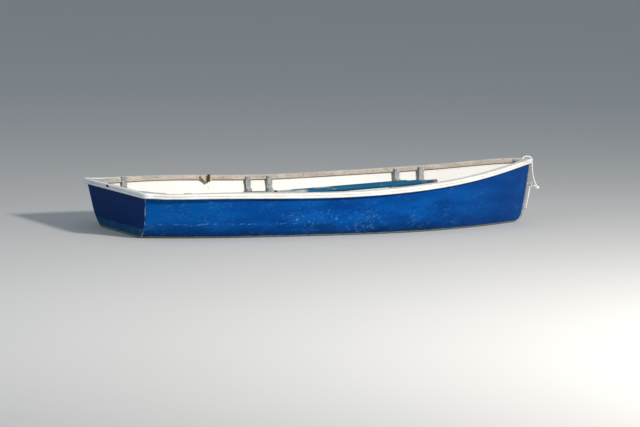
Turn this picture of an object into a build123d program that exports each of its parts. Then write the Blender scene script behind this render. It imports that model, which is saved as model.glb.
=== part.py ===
from build123d import *
from collections import namedtuple
from math import cos, degrees, pi, radians, sin, sqrt, tan
import os

# An open rowing boat of about three and a half metres, stored as it floats.
# Frame: +X towards the bow, +Y to port, +Z up. The origin lies on the
# centreline amidships, at the waterline. All sizes are in millimetres.

# Overall sizes
LENGTH = 3500.0            # transom top to stem head
BEAM = 1310.0              # widest, over the moulded sides, without the guard
WALL = 7.0                 # laminate of the hull and the transom
TRANSOM_RAKE = 8.0         # degrees, top edge further aft
GAP = 0.3                  # left between pieces that seat on curved faces

# Gunwale
GUARD_HEIGHT = 38.0
GUARD_BOW_HEIGHT = 32.0    # the guard tapers a little towards the stem
GUARD_DROP = 4.0           # from the sheer down to the top of the guard
GUARD_WIDTH = 30.0
GUARD_GROOVE = 5.4         # depth of the groove between its two ridges
GUARD_LIP = 18.6           # width of its flat top and bottom
GUARD_CORNER = 42.0        # radius of the guard's turn at the transom
GUARD_NOSE = 2.0           # how far the guard stands out past the stem head
INWALE_HEIGHT = 38.0
INWALE_WIDTH = 22.0
INWALE_STOP = 88.0         # from the stem head to the end of the inwales
TRANSOM_RAIL_WIDTH = 37.0  # along the boat, at its top
RAIL_SHOULDER = 4.0        # where the rail's ends are cut back for the inwales
BREASTHOOK_LENGTH = 150.0
BREASTHOOK_CROWN = 52.0    # radius of the hollow in its after edge
BREASTHOOK_HOLLOW = 28.0   # depth of that hollow
QUARTER_KNEE_LEG = 174.0
QUARTER_KNEE_TOE = 45.0    # width of the ends of its legs
QUARTER_KNEE_THROAT = 62.0
PLATE_KNEE_THICKNESS = 22.0

# Seats: each is a plank with its top at a height over the water
SEAT_THICKNESS = 22.0
SEAT_EDGE = 5.0
STERN_SEAT_TOP = 222.0
STERN_SEAT_DEPTH = 350.0
MIDDLE_THWART_X = -297.0
MIDDLE_THWART_TOP = 214.0
FORWARD_THWART_X = 902.0
FORWARD_THWART_TOP = 282.0
THWART_WIDTH = 250.0
BEARER_WIDTH = 28.0
BEARER_HEIGHT = 36.0
BEARER_SHY = 6.0           # how far a bearer stops short of the seat's edges
BEARER_AFT = 90.0          # the stern seat's bearers start this far off the transom
POST_SIZE = 46.0

# Standing knees that tie the seats to the gunwale
KNEE_WIDTH = 54.0
KNEE_DEPTH = 24.0
KNEE_ARM = 52.0
KNEE_TOE = 14.0
KNEE_INSTEP = 20.0
KNEE_THROAT = 18.0
KNEE_TOP_GAP = 1.0         # under the sheer
KNEE_SPREAD = 180.0        # between the two knees at one end of a thwart
KNEE_SETBACK = 31.0        # from the front of the stern seat to its knee

# Rowlock fittings
PAD_LENGTH = 118.0         # along the gunwale, at its top
PAD_FOOT = 36.0            # along its lower edge
PAD_SHOULDER = 9.0         # height of its square ends, over the taper
PAD_DEPTH = 28.0           # at the top
PAD_DROP = 8.0             # how far it reaches under the inwale
PAD_ROUND = 5.0
SOCKET_X = -730.0
SOCKET_BORE = 13.4
SOCKET_WALL = 4.3
SOCKET_LENGTH = 54.0
SOCKET_RISE = 11.0         # how far the barrel stands over the gunwale
SOCKET_RIM = 2.2
SOCKET_RIM_HEIGHT = 4.0
SOCKET_SUNK = 1.5          # how far the barrel is let into its plate
SOCKET_PLATE = 3.0
SOCKET_PLATE_WIDTH = 42.0
SOCKET_PLATE_FOOT = 22.0
SOCKET_PLATE_TOP = 2.0     # under the gunwale's top
SOCKET_PLATE_HEIGHT = 40.0
SOCKET_PLATE_ROUND = 5.0

# Keel and bow metal
KEEL_WIDTH = 38.0
SKEG_DEPTH = 128.0         # below the waterline at the heel
SKEG_LENGTH = 900.0
SKEG_SLOPE = 14.0          # how far the heel's foot lies ahead of its top
SKEG_SHY = 4.0             # from the transom's foot to the heel
KEEL_DEPTH = 147.0
KEEL_FLAT_END = 420.0      # x where the keel starts to rise to the stem
KEEL_RISE_X = 910.0
KEEL_RISE = 9.0            # how far it has risen at that x
KEEL_TOE = 300.0           # from the stem head aft to the toe of the keel
KEEL_TOE_DEPTH = 90.0
STEM_BAND_WIDTH = 18.0
STEM_BAND_THICKNESS = 3.0
STEM_BAND_GAP = 3.0        # under the guard
STEM_BAND_TOE = 280.0      # from the stem head aft to its lower end
BOW_EYE_HEIGHT = 292.0
BOW_EYE_STAND = 30.0       # from the stem to the middle of the eye
BOW_EYE_RADIUS = 11.0
BOW_EYE_WIRE = 3.5
BOW_EYE_BOLT = 9.0
BOW_EYE_FLANGE = 22.0
BOW_EYE_FLANGE_LENGTH = 8.0
BOW_EYE_INSIDE = 34.0      # length of the bolt behind the stem's face
BOW_RING_RADIUS = 18.0
BOW_RING_WIRE = 3.5
BOW_RING_DROOP = 25.0      # degrees, how the pull of the line tilts the ring
BOW_RING_PLAY = 1.5        # between the ring and the eye, at rest

# Bottom boards
BOARD_COUNT = 5
BOARD_WIDTH = 92.0
BOARD_SPACING = 112.0
BOARD_THICKNESS = 10.0
BOARD_STEM_GAP = 990.0     # from the stem head aft to the boards
BOARD_TRANSOM_GAP = 420.0  # from the transom forward to the boards
FLOOR_X = (-1080.0, -300.0, 480.0)
FLOOR_WIDTH = 60.0
BOARD_TOP = -40.0

# Oars, stowed on the two thwarts
OAR_LOOM = 40.0
OAR_GRIP = 27.0
OAR_GRIP_LENGTH = 115.0
OAR_GRIP_ROUND = 4.0       # radius of the edge of its end
OAR_GRIP_TAPER = 26.0      # from the grip to the full loom
OAR_LENGTH = 2250.0
OAR_NECK = 15.6            # radius of the shaft at the blade
OAR_NECK_TAPER = 320.0
OAR_SPINE = 60.0           # how far the round shaft runs into the blade
BLADE_LENGTH = 620.0
BLADE_WIDTH = 128.0
BLADE_THICKNESS = 14.0
BLADE_TILT = 60.0          # degrees from upright, as the oars lie
OAR_Y = (150.0, 205.0)
OAR_FORWARD_X = (1010.0, 905.0)

# Line over the bow: laid rope, made fast under the breasthook and to the ring
ROPE = 11.0
ROPE_BEND = 0.45           # share of the shorter run that the arc beside it takes
ROPE_HOLE = 9.0            # radius of its hole in the breasthook
ROPE_HOLE_EASE = 6.0       # how far the hole's upper edge is opened out
ROPE_KNOT = 15.0
ROPE_LOOP = 9.6
ROPE_STOPPER = 14.0
ROPE_HITCH_ANGLE = -150.0  # where the hitch lies on the ring, from the bow up
LINE_ROUTE = (
    (1670, 0, 466),
    (1673, 0, 484),
    (1684, -1, 499),
    (1704, -3, 508),
    (1732, -5, 508),
    (1753, -6, 501.5),
    (1765, -7, 486),
    (1767, -7, 460),
    (1769, -7, 430),
    (1772, -6, 398),
    (1777, -5, 366),
    (1785, -3, 335),
    (1797, -1, 305),
    (1812.2, 0, 279.6),
)
TAIL_ROUTE = (
    (1751, -1, 264.9),
    (1745, -6, 238),
    (1738, -10, 209),
    (1731, -13, 179),
    (1722, -15, 150),
    (1714, -17, 120),
    (1709, -20, 88),
)

# Lines of the hull, one station each: distance forward of amidships as a
# share of half the length, half breadth of the sheer as a share of half the
# beam, then the heights of sheer and keel, the rise of the floor in degrees,
# the bilge radius, and the flare of the topside in degrees. The last station
# lies past the stem, where the side has crossed the centreline.
Station = namedtuple("Station", "along breadth sheer keel rise bilge flare")
LINES = (
    Station(-1.0286, 0.828, 352, -42, 4.0, 230, 20.0),
    Station(-0.6571, 0.988, 346, -86, 5.5, 235, 18.0),
    Station(-0.2857, 1.000, 337, -114, 8.0, 220, 15.0),
    Station(0.0857, 0.965, 349, -122, 9.0, 210, 13.0),
    Station(0.4286, 0.777, 387, -118, 13.0, 190, 10.0),
    Station(0.7143, 0.472, 439, -100, 24.0, 150, 9.0),
    Station(0.8857, 0.234, 479, -48, 42.0, 100, 9.0),
    Station(1.0571, -0.174, 488, 304, 60.0, 100, -1.5),
)
PAST_CENTRE = 340.0        # how far each half section runs over the centreline
RISE = 60.0                # how far the hull's bodies stand over the sheer


def station_x(station):
    return station.along * LENGTH / 2


def station_breadth(station):
    return station.breadth * BEAM / 2


def section(station, inset):
    """Half section of the hull, its skin moved in by inset, its top over the sheer."""
    rise_angle = radians(station.rise)
    flare = radians(station.flare)
    radius = station.bilge - inset
    breadth = station_breadth(station) - inset / cos(flare)
    keel = station.keel + inset / cos(rise_angle)
    corner_y = breadth - (station.sheer - keel) * tan(flare)
    corner_y = corner_y / (1 - tan(flare) * tan(rise_angle))
    corner = Vector(corner_y, keel + corner_y * tan(rise_angle))
    turn = pi / 2 - flare - rise_angle
    reach = radius * tan(turn / 2)
    along_floor = Vector(cos(rise_angle), sin(rise_angle))
    along_side = Vector(sin(flare), cos(flare))
    floor_end = corner - along_floor * reach
    side_start = corner + along_side * reach
    centre = floor_end + Vector(-sin(rise_angle), cos(rise_angle)) * radius
    bilge_middle = centre + (corner - centre).normalized() * radius
    top = station.sheer + RISE
    side_top = Vector(breadth + RISE * tan(flare), top)
    inner_top = Vector(-PAST_CENTRE, top)
    inner_floor = Vector(-PAST_CENTRE, keel - PAST_CENTRE * tan(rise_angle))
    outline = [
        Line(inner_floor, floor_end),
        ThreePointArc(floor_end, bilge_middle, side_start),
        Line(side_start, side_top),
        Line(side_top, inner_top),
        Line(inner_top, inner_floor),
    ]
    plane = Plane(origin=(station_x(station), 0, 0), x_dir=(0, 1, 0), z_dir=(1, 0, 0))
    return plane * make_face(outline)


def transom_plane(inset):
    """Plane of the transom, moved forward by inset, its normal forward."""
    rake = radians(TRANSOM_RAKE)
    normal = Vector(cos(rake), 0, sin(rake))
    top = Vector(-LENGTH / 2, 0, LINES[0].sheer)
    return Plane(origin=top + normal * inset, x_dir=(0, 1, 0), z_dir=normal)


BODIES = {}


def hull_body(inset):
    """Solid body inside the hull's skin moved in by inset, closed at the transom."""
    if inset not in BODIES:
        half = loft([section(station, inset) for station in LINES])
        clip = Box(2 * LENGTH, LENGTH, LENGTH, align=(Align.CENTER, Align.MIN, Align.CENTER))
        half = half & clip
        ahead = transom_plane(inset) * Box(
            2 * LENGTH, 2 * LENGTH, 2 * LENGTH, align=(Align.CENTER, Align.CENTER, Align.MIN)
        )
        half = half & ahead
        BODIES[inset] = half + mirror(half, about=Plane.XZ)
    return BODIES[inset]


def skin_room():
    """Space inside the laminate, less the clearance of what seats on it."""
    return hull_body(WALL + GAP)


def inner_room():
    """Space inside the inwale and the transom rail, less the clearance."""
    return hull_body(WALL + GAP + INWALE_WIDTH + GAP)


def sheer_band(below, above):
    """Slab that follows the sheer, from below it to above it."""
    faces = []
    for station in LINES:
        plane = Plane(origin=(station_x(station), 0, 0), x_dir=(0, 1, 0), z_dir=(1, 0, 0))
        middle = station.sheer + (above - below) / 2
        faces.append(plane * Pos(0, middle) * Rectangle(1.5 * BEAM, above + below))
    return loft(faces)


SHEER_PLAN = Spline([(station_x(s), station_breadth(s)) for s in LINES])
SHEER_RISE = Spline([(station_x(s), s.sheer) for s in LINES])


def at_x(curve, x):
    """Parameter of the point of a curve that lies at x."""
    low, high = 0.0, 1.0
    while high - low > 1e-6:
        middle = (low + high) / 2
        if (curve @ middle).X < x:
            low = middle
        else:
            high = middle
    return low


def sheer_breadth(x):
    return (SHEER_PLAN @ at_x(SHEER_PLAN, x)).Y


def sheer_height(x):
    return (SHEER_RISE @ at_x(SHEER_RISE, x)).Y


def slab(x0, x1, y0, y1, z0, z1):
    """Box between two corners."""
    box = Box(x1 - x0, y1 - y0, z1 - z0)
    return Pos((x0 + x1) / 2, (y0 + y1) / 2, (z0 + z1) / 2) * box


def both_sides(name, piece):
    """A port piece and its mirror image, by name."""
    return {name + "_port": piece, name + "_starboard": mirror(piece, about=Plane.XZ)}


def hull():
    """The moulded shell: bottom, bilges, topsides and transom in one laminate."""
    shell = (hull_body(0) - hull_body(WALL)) & sheer_band(LENGTH, 0)
    return {"hull_shell": shell - bow_eye_hole()}


def bow_eye_hole():
    """Hole through stem and band for the eye bolt, with its clearance."""
    place = Pos(LENGTH / 2, 0, BOW_EYE_HEIGHT) * Rot(0, 90, 0)
    reach = 4 * (BOW_EYE_STAND + BOW_EYE_INSIDE)
    return place * Cylinder(BOW_EYE_BOLT / 2 + GAP, reach)


def stem_x(height):
    """Where the stem's outside crosses the centreline at a height."""
    bow = hull_body(0) & slab(LENGTH / 4, LENGTH, -BEAM, BEAM, height - 1, height + 1)
    return bow.bounding_box().max.X


def keel():
    """Outside keel and skeg, cut to the bottom they lie against."""
    foot = -LENGTH / 2 + (LINES[0].sheer + SKEG_DEPTH) * tan(radians(TRANSOM_RAKE))
    heel = foot + SKEG_SHY
    toe = LENGTH / 2 - KEEL_TOE
    with BuildSketch(Plane.XZ) as profile:
        with BuildLine():
            Polyline((heel, 0), (heel + SKEG_SLOPE, -SKEG_DEPTH), (heel + SKEG_LENGTH, -KEEL_DEPTH))
            Line((heel + SKEG_LENGTH, -KEEL_DEPTH), (KEEL_FLAT_END, -KEEL_DEPTH))
            ThreePointArc(
                (KEEL_FLAT_END, -KEEL_DEPTH),
                (KEEL_RISE_X, -KEEL_DEPTH + KEEL_RISE),
                (toe, -KEEL_TOE_DEPTH),
            )
            Polyline((toe, -KEEL_TOE_DEPTH), (toe, 0), (heel, 0))
        make_face()
    bar = extrude(profile.sketch, KEEL_WIDTH / 2, both=True)
    return {"keel": largest(bar - hull_body(-GAP))}


def largest(part):
    """The largest solid of a cut piece, without its offcuts."""
    return part.solids().sort_by(SortBy.VOLUME)[-1]


def stem_band():
    """Metal strip up the stem, from the toe of the keel to the guard."""
    half = STEM_BAND_WIDTH / 2
    aft = LENGTH / 2 - STEM_BAND_TOE
    top = sheer_height(LENGTH / 2) - GUARD_DROP - GUARD_BOW_HEIGHT - STEM_BAND_GAP
    strip = hull_body(-GAP - STEM_BAND_THICKNESS) & slab(aft, LENGTH, -half, half, -LENGTH, top)
    strip = strip - hull_body(-GAP)
    return {"stem_band": largest(strip - bow_eye_hole())}


def guard_height(x):
    """Height of the guard: full as far as the waist of the bow, then tapering."""
    waist = station_x(LINES[4])
    share = max(0.0, (x - waist) / (station_x(LINES[-1]) - waist))
    return GUARD_HEIGHT - (GUARD_HEIGHT - GUARD_BOW_HEIGHT) * share


def guard_profile(sheer_point, height, plane):
    """Two-ridged section of the guard; its inner side reaches into the hull."""
    valley = GUARD_WIDTH - GUARD_GROOVE
    inner = -GUARD_LIP

    def at(out, down):
        return (sheer_point[0] + out, sheer_point[1] - GUARD_DROP - down)

    outline = [
        Line(at(inner, 0), at(GUARD_LIP, 0)),
        ThreePointArc(at(GUARD_LIP, 0), at(GUARD_WIDTH, height * 0.25), at(valley, height * 0.5)),
        ThreePointArc(at(valley, height * 0.5), at(GUARD_WIDTH, height * 0.75), at(GUARD_LIP, height)),
        Line(at(GUARD_LIP, height), at(inner, height)),
        Line(at(inner, height), at(inner, 0)),
    ]
    return plane * make_face(outline)


def guard():
    """Canvas-covered guard round the gunwale: two sides and the stern run."""
    faces = []
    for station in LINES:
        x = station_x(station)
        plane = Plane(origin=(x, 0, 0), x_dir=(0, 1, 0), z_dir=(1, 0, 0))
        point = (station_breadth(station), station.sheer)
        faces.append(guard_profile(point, guard_height(x), plane))
    side = loft(faces)
    side = side & slab(-LENGTH, LENGTH / 2 + GUARD_NOSE, GAP, BEAM, -LENGTH, LENGTH)

    # The stern run turns off the side along an arc and crosses the transom
    corner = Vector(-LENGTH / 2, sheer_breadth(-LENGTH / 2))
    tangent = SHEER_PLAN % at_x(SHEER_PLAN, -LENGTH / 2)
    turn = pi / 2 - radians(Vector(1, 0, 0).get_angle(tangent))
    reach = GUARD_CORNER * tan(turn / 2)
    start = corner + Vector(tangent.X, tangent.Y) * reach
    centre = Vector(-LENGTH / 2 + GUARD_CORNER, corner.Y - reach)
    sheer = sheer_height(-LENGTH / 2)
    crossing = Plane(origin=(-LENGTH / 2, 0, 0), x_dir=(-1, 0, 0), z_dir=(0, 1, 0))
    across = guard_profile((0, sheer), GUARD_HEIGHT, crossing)
    run = extrude(across, centre.Y, both=True)
    quarter = Pos(0, centre.Y, 0) * across
    axis = Axis((centre.X, centre.Y, 0), (0, 0, -1))
    bend = revolve(quarter, axis, degrees(turn))
    bend = bend & hull_side_cut(start, tangent, -1)
    stern = run + bend + mirror(bend, about=Plane.XZ)
    side = side & hull_side_cut(start, tangent, 1)
    seat = hull_body(-GAP)
    pieces = both_sides("guard", largest(side - seat))
    pieces["guard_stern"] = largest(stern - seat)
    return pieces


def hull_side_cut(start, tangent, way):
    """Half space ahead of, or behind, the joint between side and stern guard."""
    normal = Vector(tangent.X, tangent.Y, 0) * way
    origin = Vector(start.X, start.Y, 0) + normal * GAP / 2
    plane = Plane(origin=origin, z_dir=normal)
    return plane * Box(3 * LENGTH, 3 * LENGTH, 3 * LENGTH, align=(Align.CENTER, Align.CENTER, Align.MIN))


def gunwale_timbers():
    """Inwales, transom rail, breasthook and quarter knees, flush with the sheer."""
    everywhere = (-BEAM, BEAM, -LENGTH, LENGTH)
    band = sheer_band(INWALE_HEIGHT, -GAP)
    ring = (skin_room() - hull_body(WALL + GAP + INWALE_WIDTH)) & band
    rail_front = -LENGTH / 2 + WALL + TRANSOM_RAIL_WIDTH
    stem_end = LENGTH / 2 - INWALE_STOP
    rail = ring & slab(-LENGTH, rail_front, *everywhere)
    rail = rail - hull_sides_beyond_rail(rail_front)
    inwale = ring - slab(-LENGTH, rail_front, *everywhere)
    inwale = inwale & slab(rail_front + GAP, stem_end, GAP, BEAM, -LENGTH, LENGTH)
    pieces = {"transom_rail": largest(rail)}
    pieces.update(both_sides("inwale", largest(inwale)))

    knee_band = sheer_band(PLATE_KNEE_THICKNESS, -GAP)
    hook_aft = LENGTH / 2 - BREASTHOOK_LENGTH
    crown_x = hook_aft + BREASTHOOK_HOLLOW - BREASTHOOK_CROWN
    crown = Pos(crown_x, 0, 0) * Cylinder(BREASTHOOK_CROWN, 3 * LENGTH)
    hook = slab(hook_aft, LENGTH, *everywhere) - crown - rope_hole()
    nose = skin_room() & slab(stem_end + GAP, LENGTH, *everywhere)
    heart = inner_room() & slab(-LENGTH, stem_end + GAP, *everywhere)
    pieces["breasthook"] = largest((nose + heart) & hook & knee_band)
    pieces.update(both_sides("quarter_knee", quarter_knee(knee_band)))
    return pieces


def quarter_knee(band):
    """Flat knee in the corner of transom and side, hollowed between its legs."""
    aft = -LENGTH / 2
    side = sheer_breadth(aft)
    leg = QUARTER_KNEE_LEG
    front = aft + WALL + leg
    inner = side - WALL - INWALE_WIDTH - leg
    along_toe = (front, side - WALL - INWALE_WIDTH - QUARTER_KNEE_TOE)
    across_toe = (aft + WALL + TRANSOM_RAIL_WIDTH + QUARTER_KNEE_TOE, inner)
    middle = Vector((along_toe[0] + across_toe[0]) / 2, (along_toe[1] + across_toe[1]) / 2)
    corner = Vector(aft, side)
    throat = middle + (corner - middle).normalized() * (QUARTER_KNEE_THROAT - QUARTER_KNEE_TOE)
    with BuildSketch() as plan:
        with BuildLine():
            Polyline((aft, side), (front, side), along_toe)
            ThreePointArc(along_toe, (throat.X, throat.Y), across_toe)
            Polyline(across_toe, (aft, inner), (aft, side))
        make_face()
    plate = extrude(plan.sketch, LENGTH, both=True)
    return largest(plate & inner_room() & band)


def hull_sides_beyond_rail(front):
    """The stubs of the inwale that the transom rail doesn't take."""
    inner = hull_body(WALL + GAP + INWALE_WIDTH)
    stub = slab(-LENGTH, LENGTH, -BEAM, BEAM, -LENGTH, LENGTH) - inner
    return stub & slab(front - RAIL_SHOULDER, LENGTH, -BEAM, BEAM, -LENGTH, LENGTH)


Seat = namedtuple("Seat", "name aft front top knees")


def seats():
    """The three seats, from aft to front, with the places of their knees."""
    half = THWART_WIDTH / 2
    spread = KNEE_SPREAD / 2
    stern_aft = -LENGTH / 2
    stern_front = stern_aft + STERN_SEAT_DEPTH
    return (
        Seat("stern_seat", stern_aft, stern_front, STERN_SEAT_TOP, (stern_front - KNEE_SETBACK,)),
        Seat(
            "middle_thwart",
            MIDDLE_THWART_X - half,
            MIDDLE_THWART_X + half,
            MIDDLE_THWART_TOP,
            (MIDDLE_THWART_X - spread, MIDDLE_THWART_X + spread),
        ),
        Seat(
            "forward_thwart",
            FORWARD_THWART_X - half,
            FORWARD_THWART_X + half,
            FORWARD_THWART_TOP,
            (FORWARD_THWART_X - spread, FORWARD_THWART_X + spread),
        ),
    )


def seat_pieces(seat):
    """One seat: its plank, the bearers under its ends and its standing knees."""
    plank = slab(seat.aft, seat.front, -BEAM, BEAM, seat.top - SEAT_THICKNESS, seat.top)
    long_edges = plank.edges().filter_by(Axis.Y)
    plank = fillet(long_edges, SEAT_EDGE)
    pieces = {seat.name: largest(plank & skin_room())}

    bearer_top = seat.top - SEAT_THICKNESS - GAP
    bearer = skin_room() - hull_body(WALL + GAP + BEARER_WIDTH)
    bearer = bearer & slab(
        max(seat.aft + BEARER_SHY, -LENGTH / 2 + BEARER_AFT),
        seat.front - BEARER_SHY,
        BEAM / 8,
        BEAM,
        bearer_top - BEARER_HEIGHT,
        bearer_top,
    )
    pieces.update(both_sides(seat.name + "_bearer", largest(bearer)))
    for number, x in enumerate(seat.knees, 1):
        knee = standing_knee(x, seat.top)
        name = seat.name + "_knee"
        if len(seat.knees) > 1:
            name = name + "_" + str(number)
        pieces.update(both_sides(name, knee))
    return pieces


def standing_knee(x, seat_top):
    """Knee with its arm on the seat and its back against side and inwale."""
    face = sheer_breadth(x) - WALL - INWALE_WIDTH - 2 * GAP - KNEE_DEPTH
    top = sheer_height(x) - KNEE_TOP_GAP
    foot = seat_top + GAP
    instep = foot + KNEE_INSTEP
    arm_end = face - KNEE_ARM + KNEE_DEPTH
    beyond = face + 3 * INWALE_HEIGHT
    round_middle = KNEE_THROAT * (1 - sqrt(0.5))
    plane = Plane(origin=(x, 0, 0), x_dir=(0, 1, 0), z_dir=(1, 0, 0))
    with BuildSketch(plane) as profile:
        with BuildLine():
            Polyline((beyond, foot), (arm_end, foot), (arm_end, foot + KNEE_TOE))
            Line((arm_end, foot + KNEE_TOE), (face - KNEE_THROAT, instep))
            ThreePointArc(
                (face - KNEE_THROAT, instep),
                (face - round_middle, instep + round_middle),
                (face, instep + KNEE_THROAT),
            )
            Polyline((face, instep + KNEE_THROAT), (face, top), (beyond, top), (beyond, foot))
        make_face()
    blank = extrude(profile.sketch, KNEE_WIDTH / 2, both=True)
    against = skin_room() - inwale_clearance()
    return largest(blank & against)


def inwale_clearance():
    """Room that hull side and inwale take, with the clearance round the inwale."""
    if "inwale" not in BODIES:
        ring = hull_body(-GAP) - inner_room()
        BODIES["inwale"] = ring & sheer_band(INWALE_HEIGHT + GAP, GAP)
    return BODIES["inwale"]


def thwart_post():
    """Post under the middle thwart, standing on the bottom boards."""
    top = MIDDLE_THWART_TOP - SEAT_THICKNESS
    post = slab(-POST_SIZE / 2, POST_SIZE / 2, -POST_SIZE / 2, POST_SIZE / 2, BOARD_TOP, top)
    return {"thwart_post": Pos(MIDDLE_THWART_X, 0, 0) * post}


def bottom_boards():
    """Loose boards over the bottom, on floors that fit the hull."""
    pieces = {}
    low = BOARD_TOP - BOARD_THICKNESS
    for number in range(BOARD_COUNT):
        y = (number - (BOARD_COUNT - 1) / 2) * BOARD_SPACING
        board = slab(
            -LENGTH / 2 + BOARD_TRANSOM_GAP,
            LENGTH / 2 - BOARD_STEM_GAP,
            y - BOARD_WIDTH / 2,
            y + BOARD_WIDTH / 2,
            low,
            BOARD_TOP,
        )
        pieces["bottom_board_" + str(number + 1)] = largest(board & skin_room())
    half = BOARD_SPACING * BOARD_COUNT / 2
    for number, x in enumerate(FLOOR_X, 1):
        floor = slab(x - FLOOR_WIDTH / 2, x + FLOOR_WIDTH / 2, -half, half, -LENGTH, low)
        pieces["floor_" + str(number)] = largest(floor & skin_room())
    return pieces


def rowlock_pad():
    """Pad on the inwale's inner face, wide at the top, and the socket on it."""
    x = SOCKET_X
    sheer = sheer_height(x)
    face = sheer_breadth(x) - WALL - INWALE_WIDTH - 2 * GAP - PAD_DEPTH
    top = sheer - KNEE_TOP_GAP
    low = sheer - INWALE_HEIGHT - PAD_DROP
    shoulder = top - PAD_SHOULDER
    front = Plane(origin=(x, face, 0), x_dir=(1, 0, 0), z_dir=(0, -1, 0))
    with BuildSketch(front) as outline:
        Polygon(
            (-PAD_LENGTH / 2, top), (PAD_LENGTH / 2, top), (PAD_LENGTH / 2, shoulder),
            (PAD_FOOT / 2, low), (-PAD_FOOT / 2, low), (-PAD_LENGTH / 2, shoulder), align=None,
        )
        fillet(outline.vertices().sort_by(Axis.Z)[:2], PAD_ROUND)
    pad = extrude(outline.sketch, -BEAM)
    pad = largest(pad & inner_room())

    # Side-mounted socket: a plate that narrows downwards, and a barrel on it
    plate_plane = Plane(origin=(x, face - GAP, sheer - SOCKET_PLATE_TOP), x_dir=(1, 0, 0), z_dir=(0, -1, 0))
    with BuildSketch(plate_plane) as plate_shape:
        half = SOCKET_PLATE_WIDTH / 2
        foot = SOCKET_PLATE_FOOT / 2
        low = -SOCKET_PLATE_HEIGHT
        Polygon((-half, 0), (half, 0), (foot, low), (-foot, low), align=None)
        fillet(plate_shape.vertices(), SOCKET_PLATE_ROUND)
    plate = extrude(plate_shape.sketch, SOCKET_PLATE)
    radius = SOCKET_BORE / 2 + SOCKET_WALL
    centre_y = face - GAP - SOCKET_PLATE - radius + SOCKET_SUNK
    barrel_top = sheer + SOCKET_RISE
    middle = barrel_top - SOCKET_LENGTH / 2
    barrel = Pos(x, centre_y, middle) * Cylinder(radius, SOCKET_LENGTH)
    rim = Pos(x, centre_y, barrel_top - SOCKET_RIM_HEIGHT / 2)
    rim = rim * Cylinder(radius + SOCKET_RIM, SOCKET_RIM_HEIGHT)
    rim = rim & slab(-LENGTH, LENGTH, -BEAM, face - GAP, -LENGTH, LENGTH)
    bore = Pos(x, centre_y, middle) * Cylinder(SOCKET_BORE / 2, 2 * SOCKET_LENGTH)
    socket = plate + barrel + rim - bore
    print("value socket_y", round(centre_y, 3))
    print("value socket_z", round(middle, 3))
    print("value socket_length", SOCKET_LENGTH)
    print("value socket_r", SOCKET_BORE / 2)
    pieces = both_sides("rowlock_pad", pad)
    pieces.update(both_sides("rowlock_socket", socket))
    return pieces


def oars():
    """Two oars side by side on the thwarts, blades aft, looms sloping with them."""
    aft_x = MIDDLE_THWART_X - THWART_WIDTH / 2 + SEAT_EDGE
    front_x = FORWARD_THWART_X - THWART_WIDTH / 2 + SEAT_EDGE
    slope = (FORWARD_THWART_TOP - MIDDLE_THWART_TOP) / (front_x - aft_x)
    lift = (OAR_LOOM / 2 + GAP) * sqrt(1 + slope * slope)
    pieces = {}
    for number, (y, tip_x) in enumerate(zip(OAR_Y, OAR_FORWARD_X), 1):
        tip_z = MIDDLE_THWART_TOP + lift + slope * (tip_x - aft_x)
        direction = Vector(-1, 0, -slope)
        plane = Plane(origin=(tip_x, y, tip_z), x_dir=(0, 1, 0), z_dir=direction)
        pieces["oar_" + str(number)] = plane * Rot(0, 0, BLADE_TILT) * oar()
    return pieces


def oar():
    """One oar along +Z from its handle end, its blade on edge."""
    grip = OAR_GRIP / 2
    loom = OAR_LOOM / 2
    end_round = OAR_GRIP_ROUND * (1 - sqrt(0.5))
    throat = OAR_LENGTH - BLADE_LENGTH
    spine = throat + OAR_SPINE
    with BuildSketch(Plane.XZ) as half:
        with BuildLine():
            Line((0, 0), (grip - OAR_GRIP_ROUND, 0))
            ThreePointArc(
                (grip - OAR_GRIP_ROUND, 0),
                (grip - end_round, end_round),
                (grip, OAR_GRIP_ROUND),
            )
            Line((grip, OAR_GRIP_ROUND), (grip, OAR_GRIP_LENGTH))
            Line((grip, OAR_GRIP_LENGTH), (loom, OAR_GRIP_LENGTH + OAR_GRIP_TAPER))
            Line((loom, OAR_GRIP_LENGTH + OAR_GRIP_TAPER), (loom, throat - OAR_NECK_TAPER))
            Line((loom, throat - OAR_NECK_TAPER), (OAR_NECK, spine))
            Polyline((OAR_NECK, spine), (0, spine), (0, 0))
        make_face()
    shaft = revolve(half.sketch, Axis.Z)
    # Blade sections: place as a share of its length, width and thickness
    sections = (
        (0, 2 * OAR_NECK - 1, 2 * OAR_NECK - 3),
        (0.3, BLADE_WIDTH * 0.72, OAR_NECK * 1.2),
        (0.62, BLADE_WIDTH, BLADE_THICKNESS),
        (1.0, BLADE_WIDTH * 0.94, BLADE_THICKNESS * 0.7),
    )
    faces = []
    for share, width, thickness in sections:
        plane = Plane.XY.offset(throat + share * BLADE_LENGTH)
        faces.append(plane * Ellipse(thickness / 2, width / 2))
    blade = loft(faces)
    return shaft + blade


def bow_metal():
    """Eye bolt through the stem, and the ring that hangs in its eye."""
    stem = stem_x(BOW_EYE_HEIGHT)
    eye = Pos(stem + BOW_EYE_STAND, 0, BOW_EYE_HEIGHT)
    along_x = Rot(0, 90, 0)
    flange = Pos(stem, 0, BOW_EYE_HEIGHT) * along_x * Cylinder(BOW_EYE_FLANGE / 2, 2 * BOW_EYE_FLANGE_LENGTH)
    flange = largest(flange - hull_body(-GAP - STEM_BAND_THICKNESS - GAP))
    eye_back = stem + BOW_EYE_STAND - BOW_EYE_RADIUS
    bolt_length = eye_back - stem + BOW_EYE_INSIDE
    shank = Pos(eye_back - bolt_length / 2, 0, BOW_EYE_HEIGHT) * along_x
    shank = shank * Cylinder(BOW_EYE_BOLT / 2, bolt_length)
    bolt = flange + shank + eye * Torus(BOW_EYE_RADIUS, BOW_EYE_WIRE)
    ring = ring_centre() * Rot(90, 0, 0) * Torus(BOW_RING_RADIUS, BOW_RING_WIRE)
    return {"bow_eye": bolt, "bow_ring": ring}


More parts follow.
